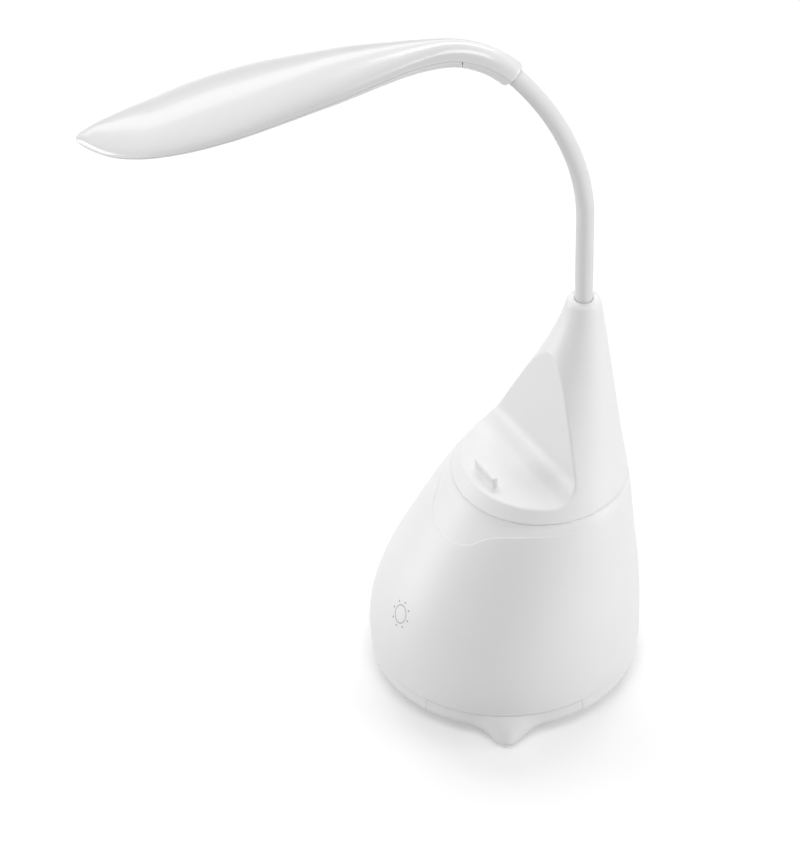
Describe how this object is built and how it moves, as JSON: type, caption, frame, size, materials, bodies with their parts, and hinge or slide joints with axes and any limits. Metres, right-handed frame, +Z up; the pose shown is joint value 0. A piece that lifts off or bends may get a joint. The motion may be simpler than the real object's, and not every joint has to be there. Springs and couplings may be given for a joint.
{
  "type": "desk lamp",
  "caption": "Battery desk lamp: leaf-shaped head on a bending gooseneck, drop-shaped body with a phone cradle, and a shallow drawer in its base.",
  "frame": {"origin": "middle of the foot's underside, on the table", "axes": "+Z up, -Y towards the front where a phone leans, +X to the lamp's left"},
  "size_m": [0.2104, 0.1962, 0.327],
  "materials": {
    "body_plastic": "fine satin white ABS",
    "head_gloss": "high gloss white ABS",
    "neck_silicone": "matte white silicone over a steel hose",
    "foot_foam": "pale closed-cell foam",
    "weight_steel": "cast iron, as cast",
    "screw_steel": "zinc plated",
    "nickel_plate": "nickel plated",
    "neck_brass": "turned brass",
    "cell_wrap": "blue shrink sleeve over the cell's can",
    "inner_black": "black moulding",
    "board_green": "green solder mask",
    "board_white": "white solder mask on aluminium",
    "led_yellow": "phosphor",
    "touch_film": "copper on film",
    "lead_sleeve": "white sleeve",
    "diffuser_opal": "opal acrylic"
  },
  "bodies": {
    "base": {"foot_pad": "foot_foam", "base_pan": "body_plastic", "drawer_deck": "body_plastic", "pan_screws": "screw_steel", "bowl_screws": "screw_steel", "counterweight": "weight_steel", "weight_screws": "screw_steel", "battery_cell": "cell_wrap", "battery_cradle": "inner_black", "battery_contacts": "nickel_plate", "control_board": "board_green", "board_parts": "inner_black", "board_screws": "screw_steel", "usb_port": "nickel_plate", "touch_pad": "touch_film", "lower_bowl": "body_plastic", "upper_cone": "body_plastic", "cone_screws": "screw_steel", "cone_leads": "lead_sleeve", "neck_nipple": "neck_brass", "neck_washer": "screw_steel", "neck_nut": "neck_brass", "neck_root": "neck_silicone", "neck_lead_0": "lead_sleeve"},
    "drawer": {"drawer_tray": "body_plastic"},
    "neck_1": {"neck_link_1": "neck_silicone", "neck_lead_1": "lead_sleeve"},
    "neck_2": {"neck_link_2": "neck_silicone", "neck_lead_2": "lead_sleeve"},
    "neck_3": {"neck_link_3": "neck_silicone", "neck_lead_3": "lead_sleeve"},
    "neck_4": {"neck_link_4": "neck_silicone", "neck_lead_4": "lead_sleeve"},
    "head": {"neck_tip": "neck_silicone", "neck_lead_5": "lead_sleeve", "head_shell": "head_gloss", "neck_cover": "head_gloss", "head_bezel": "head_gloss", "diffuser": "diffuser_opal", "led_board": "board_white", "led_chips": "led_yellow", "led_screws": "screw_steel"}
  },
  "joints": [
    {"name": "neck_bend_1", "type": "hinge", "parent": "base", "child": "neck_1", "pos_m": [0, 0.0415, 0.207], "axis": [0.766, -0.6428, 0], "range_deg": [-25, 20]},
    {"name": "neck_sway_1", "type": "hinge", "parent": "neck_1", "child": "neck_2", "pos_m": [0, 0.0415, 0.23206], "axis": [0.6428, 0.766, 0], "range_deg": [-25, 25]},
    {"name": "neck_bend_2", "type": "hinge", "parent": "neck_2", "child": "neck_3", "pos_m": [-0.00106, 0.04024, 0.25701], "axis": [0.766, -0.6428, 0], "range_deg": [-25, 20]},
    {"name": "neck_sway_2", "type": "hinge", "parent": "neck_3", "child": "neck_4", "pos_m": [-0.00592, 0.03444, 0.28082], "axis": [0.5832, 0.6951, 0.4203], "range_deg": [-25, 25]},
    {"name": "neck_bend_3", "type": "hinge", "parent": "neck_4", "child": "head", "pos_m": [-0.01445, 0.02428, 0.302], "axis": [0.766, -0.6428, 0], "range_deg": [-25, 20]},
    {"name": "drawer_slide", "type": "slide", "parent": "base", "child": "drawer", "axis": [0.848, -0.5299, 0], "range_m": [0, 0.045]}
  ]
}
